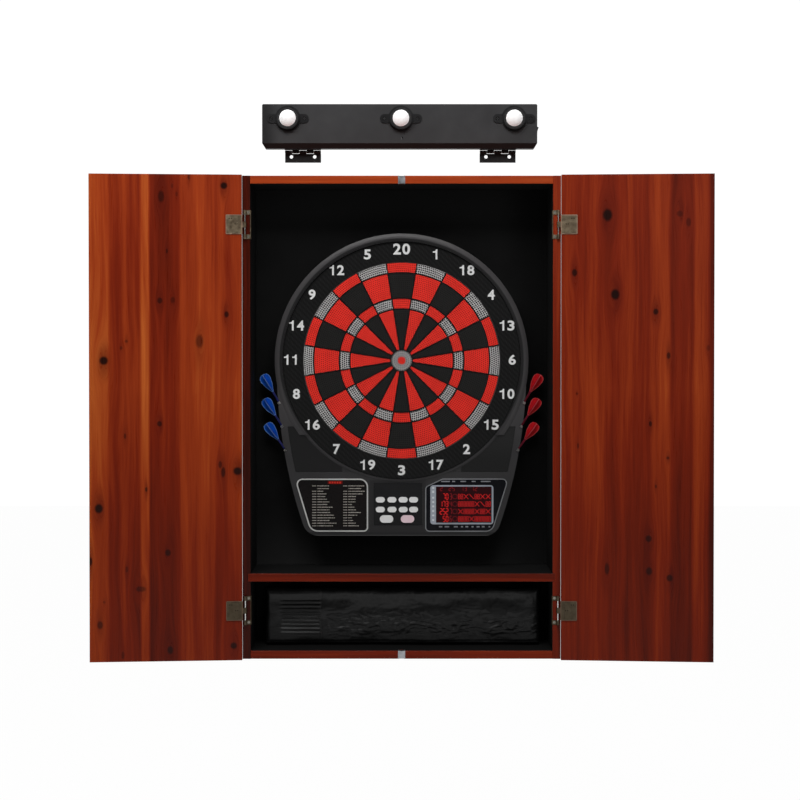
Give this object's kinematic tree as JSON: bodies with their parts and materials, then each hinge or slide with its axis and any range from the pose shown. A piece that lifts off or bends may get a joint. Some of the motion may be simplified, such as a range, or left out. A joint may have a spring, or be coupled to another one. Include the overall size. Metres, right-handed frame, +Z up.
{
  "type": "dartboard cabinet",
  "caption": "Wall cabinet of stained pine with two hinged doors, an electronic dartboard with darts, a storage locker and a separate tilting light bar.",
  "frame": {"origin": "centre of the four wall screws, in the wall plane behind the case", "axes": "+X to the right, +Y into the wall, +Z up"},
  "size_m": [1.2262, 0.166, 1.1141],
  "materials": {
    "stained_pine": "satin mahogany stain over knotty pine",
    "black_board": "matt black paint",
    "catch_steel": "dull zinc plate",
    "nickel": "satin antique nickel plate",
    "knob_metal": "satin antique nickel plate",
    "black_plastic": "fine moulded texture",
    "housing_plastic": "satin dark grey moulding",
    "number_foil": "carbon weave print with plain numbers",
    "segment_black": "perforated satin moulding",
    "segment_red": "perforated satin moulding",
    "segment_grey": "perforated satin moulding",
    "membrane_rubber": "matt",
    "fibre_board": "raw hardboard",
    "circuit_laminate": "solder mask",
    "key_white": "satin",
    "display_face": "clear gloss over a lit display",
    "games_card": "printed card",
    "dart_blue": "translucent flight, metal barrel",
    "dart_red": "translucent flight, metal barrel",
    "bag_vinyl": "wrinkled black vinyl",
    "bar_paint": "satin black powder coat",
    "lamp_plastic": "fine moulded texture",
    "lens_white": "frosted white lens"
  },
  "bodies": {
    "cabinet": {"side_left": "stained_pine", "side_right": "stained_pine", "top_panel": "stained_pine", "bottom_panel": "stained_pine", "divider_shelf": "stained_pine", "back_panel": "black_board", "hanging_rails": "stained_pine", "magnetic_catches": "catch_steel", "hinge_frame_leaves": "nickel", "hinge_pins": "nickel", "frame_hinge_screws": "nickel", "board_rear_housing": "black_plastic", "board_front_housing": "housing_plastic", "number_ring": "number_foil", "spider": "black_plastic", "single_segments_black": "segment_black", "single_segments_red": "segment_red", "ring_segments_red": "segment_red", "ring_segments_grey": "segment_grey", "sensor_membrane": "membrane_rubber", "backing_board": "fibre_board", "circuit_board": "circuit_laminate", "keypad_plate": "black_plastic", "display_window": "display_face", "games_panel": "games_card", "dart_holders": "black_plastic", "storage_bag": "bag_vinyl", "light_wall_leaves": "bar_paint"},
    "left_door": {"door_left": "stained_pine", "hinge_plates_left": "nickel", "door_screws_left": "nickel", "knob_left": "knob_metal"},
    "right_door": {"door_right": "stained_pine", "hinge_plates_right": "nickel", "door_screws_right": "nickel", "knob_right": "knob_metal"},
    "key_1_cap": {"key_1": "key_white"},
    "key_2_cap": {"key_2": "key_white"},
    "key_3_cap": {"key_3": "key_white"},
    "key_4_cap": {"key_4": "key_white"},
    "key_5_cap": {"key_5": "key_white"},
    "key_6_cap": {"key_6": "key_white"},
    "key_7_cap": {"key_7": "key_white"},
    "key_8_cap": {"key_8": "key_white"},
    "key_enter_cap": {"key_enter": "key_white"},
    "key_start_cap": {"key_start": "key_white"},
    "dart_blue_1_body": {"dart_blue_1": "dart_blue"},
    "dart_blue_2_body": {"dart_blue_2": "dart_blue"},
    "dart_blue_3_body": {"dart_blue_3": "dart_blue"},
    "dart_red_1_body": {"dart_red_1": "dart_red"},
    "dart_red_2_body": {"dart_red_2": "dart_red"},
    "dart_red_3_body": {"dart_red_3": "dart_red"},
    "outer_bull": {"bull_outer": "segment_grey"},
    "inner_bull": {"bull_inner": "segment_red"},
    "light_bar": {"light_housing": "bar_paint", "lamp_bases": "lamp_plastic", "lamp_lenses": "lens_white", "light_bar_leaves": "bar_paint"},
    "switch_rocker": {"rocker_switch": "black_plastic"}
  },
  "joints": [
    {"name": "left_door_hinge", "type": "hinge", "parent": "cabinet", "child": "left_door", "pos_m": [-0.3087, -0.14375, 0], "axis": [0, 0, 1], "range_deg": [-4, 176]},
    {"name": "right_door_hinge", "type": "hinge", "parent": "cabinet", "child": "right_door", "pos_m": [0.3087, -0.14375, 0], "axis": [0, 0, -1], "range_deg": [-4, 176]},
    {"name": "key_1_press", "type": "slide", "parent": "cabinet", "child": "key_1_cap", "axis": [0, 1, 0], "range_m": [0, 0.0012], "stiffness_N_per_m": 400, "springref_m": -0.0005},
    {"name": "key_2_press", "type": "slide", "parent": "cabinet", "child": "key_2_cap", "axis": [0, 1, 0], "range_m": [0, 0.0012], "stiffness_N_per_m": 400, "springref_m": -0.0005},
    {"name": "key_3_press", "type": "slide", "parent": "cabinet", "child": "key_3_cap", "axis": [0, 1, 0], "range_m": [0, 0.0012], "stiffness_N_per_m": 400, "springref_m": -0.0005},
    {"name": "key_4_press", "type": "slide", "parent": "cabinet", "child": "key_4_cap", "axis": [0, 1, 0], "range_m": [0, 0.0012], "stiffness_N_per_m": 400, "springref_m": -0.0005},
    {"name": "key_5_press", "type": "slide", "parent": "cabinet", "child": "key_5_cap", "axis": [0, 1, 0], "range_m": [0, 0.0012], "stiffness_N_per_m": 400, "springref_m": -0.0005},
    {"name": "key_6_press", "type": "slide", "parent": "cabinet", "child": "key_6_cap", "axis": [0, 1, 0], "range_m": [0, 0.0012], "stiffness_N_per_m": 400, "springref_m": -0.0005},
    {"name": "key_7_press", "type": "slide", "parent": "cabinet", "child": "key_7_cap", "axis": [0, 1, 0], "range_m": [0, 0.0012], "stiffness_N_per_m": 400, "springref_m": -0.0005},
    {"name": "key_8_press", "type": "slide", "parent": "cabinet", "child": "key_8_cap", "axis": [0, 1, 0], "range_m": [0, 0.0012], "stiffness_N_per_m": 400, "springref_m": -0.0005},
    {"name": "key_enter_press", "type": "slide", "parent": "cabinet", "child": "key_enter_cap", "axis": [0, 1, 0], "range_m": [0, 0.0012], "stiffness_N_per_m": 400, "springref_m": -0.0005},
    {"name": "key_start_press", "type": "slide", "parent": "cabinet", "child": "key_start_cap", "axis": [0, 1, 0], "range_m": [0, 0.0012], "stiffness_N_per_m": 400, "springref_m": -0.0005},
    {"name": "outer_bull_press", "type": "slide", "parent": "cabinet", "child": "outer_bull", "axis": [0, 1, 0], "range_m": [0, 0.0012], "stiffness_N_per_m": 600, "springref_m": -0.0005},
    {"name": "inner_bull_press", "type": "slide", "parent": "cabinet", "child": "inner_bull", "axis": [0, 1, 0], "range_m": [0, 0.0012], "stiffness_N_per_m": 400, "springref_m": -0.0005},
    {"name": "dart_blue_1_draw", "type": "slide", "parent": "cabinet", "child": "dart_blue_1_body", "axis": [-0.515, 0, 0.8572], "range_m": [0, 0.008]},
    {"name": "dart_blue_2_draw", "type": "slide", "parent": "cabinet", "child": "dart_blue_2_body", "axis": [-0.549, 0, 0.8358], "range_m": [0, 0.008]},
    {"name": "dart_blue_3_draw", "type": "slide", "parent": "cabinet", "child": "dart_blue_3_body", "axis": [-0.5878, 0, 0.809], "range_m": [0, 0.008]},
    {"name": "dart_red_1_draw", "type": "slide", "parent": "cabinet", "child": "dart_red_1_body", "axis": [0.515, 0, 0.8572], "range_m": [0, 0.008]},
    {"name": "dart_red_2_draw", "type": "slide", "parent": "cabinet", "child": "dart_red_2_body", "axis": [0.549, 0, 0.8358], "range_m": [0, 0.008]},
    {"name": "dart_red_3_draw", "type": "slide", "parent": "cabinet", "child": "dart_red_3_body", "axis": [0.5878, 0, 0.809], "range_m": [0, 0.008]},
    {"name": "light_bar_tilt", "type": "hinge", "parent": "cabinet", "child": "light_bar", "pos_m": [0, -0.0045, 0.5405], "axis": [1, 0, 0], "range_deg": [0, 90]},
    {"name": "light_switch_rock", "type": "hinge", "parent": "light_bar", "child": "switch_rocker", "pos_m": [0.2771, -0.016, 0.581], "axis": [0, -1, 0], "range_deg": [0, 14]}
  ]
}
